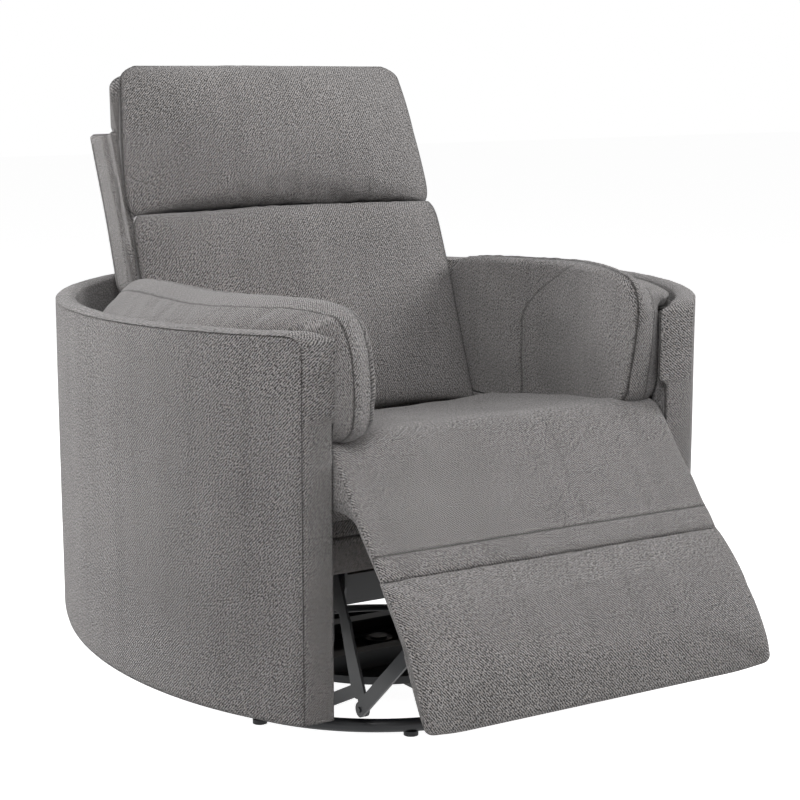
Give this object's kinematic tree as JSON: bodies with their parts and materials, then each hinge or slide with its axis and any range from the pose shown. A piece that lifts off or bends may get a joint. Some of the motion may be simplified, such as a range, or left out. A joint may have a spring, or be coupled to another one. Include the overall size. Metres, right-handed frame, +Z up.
{
  "type": "swivel glider recliner",
  "caption": "Swivel glider recliner with a round barrel body, padded arm pillows, a reclining back with head pillow, and a fold-out footrest over a round steel base",
  "frame": {"origin": "centre of the footprint of the overall box, on the floor", "axes": "+Z up; the chair faces -Y; +X is the sitter's left"},
  "size_m": [0.986, 1.0896, 0.9654],
  "materials": {
    "fabric": "grey-taupe woven chenille",
    "black_steel": "satin black",
    "steel": "zinc plated",
    "timber": "plain plywood and timber",
    "nylon": "black nylon"
  },
  "bodies": {
    "floor_base": {"base_ring": "black_steel", "ring_feet": "nylon", "base_spokes": "black_steel", "hub_plate": "black_steel", "hub_bolts": "steel", "lower_race": "steel", "bearing_balls": "steel", "pivot_post": "steel", "post_washer": "steel"},
    "turntable": {"turntable_plate": "black_steel", "upper_race": "steel", "swivel_bush": "nylon", "glider_side_left": "black_steel", "glider_side_right": "black_steel", "glider_channels": "black_steel", "upper_glide_pins": "steel"},
    "glide_front": {"glide_links_front": "steel"},
    "glide_rear": {"glide_links_rear": "steel"},
    "carriage": {"carriage_plate_left": "black_steel", "carriage_plate_right": "black_steel", "carriage_tubes": "black_steel", "lower_glide_pins": "steel", "slide_tracks": "steel", "barrel_left": "fabric", "barrel_right": "fabric", "barrel_rear": "fabric", "front_band_left": "fabric", "front_band_right": "fabric", "arm_panel_left": "fabric", "arm_panel_right": "fabric", "arm_shelves_left": "timber", "arm_shelves_right": "timber", "rear_tie_board": "timber", "arm_pillow_left": "fabric", "arm_pillow_right": "fabric"},
    "seat": {"slide_runners": "steel", "seat_plate_left": "black_steel", "seat_plate_right": "black_steel", "footrest_cross_rail": "black_steel", "seat_front_rail": "timber", "seat_rear_rail": "timber", "seat_side_rails": "timber", "seat_springs": "steel", "front_panel": "fabric", "seat_cushion": "fabric", "mechanism_pins": "steel"},
    "back": {"back_arms": "black_steel", "back_posts": "timber", "back_slats": "timber", "back_shell": "fabric", "lumbar_cushion": "fabric", "head_pillow": "fabric"},
    "footrest": {"footrest_board": "timber", "footrest_brackets": "black_steel", "footrest_pad": "fabric", "footrest_flap": "fabric"},
    "drag": {"drag_links": "black_steel", "knee_pins": "steel"},
    "coupler": {"coupler_links": "black_steel"}
  },
  "joints": [
    {"name": "swivel", "type": "hinge", "parent": "floor_base", "child": "turntable", "pos_m": [0, 0.0454, 0.03], "axis": [0, 0, 1], "continuous": true},
    {"name": "glide", "type": "hinge", "parent": "turntable", "child": "glide_front", "pos_m": [0, -0.0496, 0.158], "axis": [-1, 0, 0], "range_deg": [-25, 25]},
    {"name": "glide_rear_link", "type": "hinge", "parent": "turntable", "child": "glide_rear", "pos_m": [0, 0.1404, 0.158], "axis": [-1, 0, 0], "range_deg": [-25, 25]},
    {"name": "carriage_level", "type": "hinge", "parent": "glide_front", "child": "carriage", "pos_m": [0, -0.0496, 0.068], "axis": [-1, 0, 0], "range_deg": [-25, 25]},
    {"name": "seat_slide", "type": "slide", "parent": "carriage", "child": "seat", "axis": [0, -0.9962, 0.0872], "range_m": [-0.046, 0.115]},
    {"name": "recline", "type": "hinge", "parent": "seat", "child": "back", "pos_m": [0, 0.2304, 0.35], "axis": [-1, 0, 0], "range_deg": [-8.1, 20.1]},
    {"name": "footrest_open", "type": "hinge", "parent": "seat", "child": "footrest", "pos_m": [0, -0.3436, 0.401], "axis": [-1, 0, 0], "range_deg": [-34, 55]},
    {"name": "drag_link", "type": "hinge", "parent": "seat", "child": "drag", "pos_m": [0, -0.1766, 0.25], "axis": [-1, 0, 0], "range_deg": [-34.1, 55.1]},
    {"name": "coupler_link", "type": "hinge", "parent": "drag", "child": "coupler", "pos_m": [0, -0.2606, 0.065], "axis": [-1, 0, 0], "range_deg": [-55.1, 34.1]}
  ],
  "couplings": [
    {"joint": "glide_rear_link", "follows": "glide", "ratio": 1},
    {"joint": "carriage_level", "follows": "glide", "ratio": -1},
    {"joint": "recline", "follows": "seat_slide", "rad_per_m": 3.03},
    {"joint": "drag_link", "follows": "footrest_open", "ratio": 1},
    {"joint": "coupler_link", "follows": "footrest_open", "ratio": -1}
  ]
}
